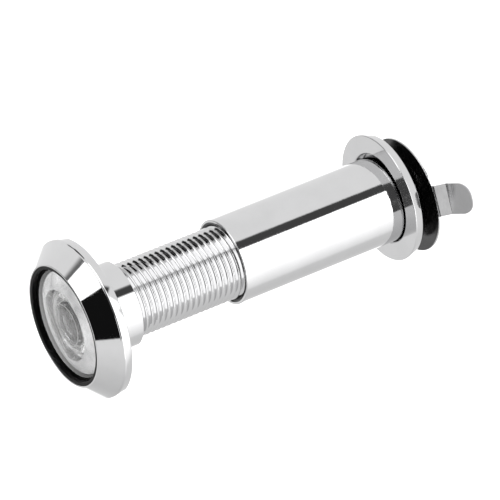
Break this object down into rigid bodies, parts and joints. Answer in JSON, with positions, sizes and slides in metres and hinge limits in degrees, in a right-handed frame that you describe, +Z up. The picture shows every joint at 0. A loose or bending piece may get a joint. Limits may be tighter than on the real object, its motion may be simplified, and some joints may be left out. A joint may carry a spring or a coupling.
{
  "type": "door viewer",
  "caption": "Telescoping wide-angle door viewer: a conical head and threaded barrel with lenses, and a smooth inner sleeve with eyepiece, loose escutcheon ring and swinging privacy cover.",
  "frame": {"origin": "on the viewer's axis, in the plane of the head's back face, which seats on the outside of the door", "axes": "+Y along the viewer's axis from the outdoor head to the indoor eyepiece, +Z up"},
  "size_m": [0.0276, 0.0674, 0.026],
  "materials": {
    "chrome_plate": "polished",
    "cover_sheet": "polished sheet",
    "bright_seat": "bright turned",
    "lock_ring_brass": "turned",
    "washer_steel": "brushed",
    "black_seal": "matte",
    "black_plastic": "matte",
    "lens_glass": "polished"
  },
  "bodies": {
    "exterior": {"outer_barrel": "chrome_plate", "front_bezel": "chrome_plate", "lens_seal_ring": "black_seal", "front_lens": "lens_glass", "objective_seat": "bright_seat", "second_lens": "lens_glass", "objective_lock_ring": "lock_ring_brass", "lens_spacer": "black_plastic", "third_lens": "lens_glass"},
    "escutcheon": {"rear_escutcheon": "chrome_plate"},
    "sleeve": {"inner_sleeve": "chrome_plate", "eyepiece_lens": "lens_glass", "eyepiece_gasket": "black_seal", "eyepiece_lock_ring": "lock_ring_brass", "spring_washer": "washer_steel", "thrust_washer": "washer_steel", "pivot_rivet": "chrome_plate"},
    "cover": {"privacy_cover": "cover_sheet"}
  },
  "joints": [
    {"name": "sleeve_travel", "type": "slide", "parent": "exterior", "child": "escutcheon", "axis": [0, 1, 0], "range_m": [-0.01851, 0.00601]},
    {"name": "sleeve_turn", "type": "hinge", "parent": "escutcheon", "child": "sleeve", "pos_m": [0, 0.0539, 0], "axis": [0, 1, 0], "range_deg": [-6660, 2160]},
    {"name": "cover_swing", "type": "hinge", "parent": "sleeve", "child": "cover", "pos_m": [-0.00598, 0.0583, -0.00345], "axis": [0, 1, 0], "continuous": true}
  ],
  "couplings": [
    {"joint": "sleeve_travel", "follows": "sleeve_turn", "m_per_rad": 0.00015915}
  ]
}
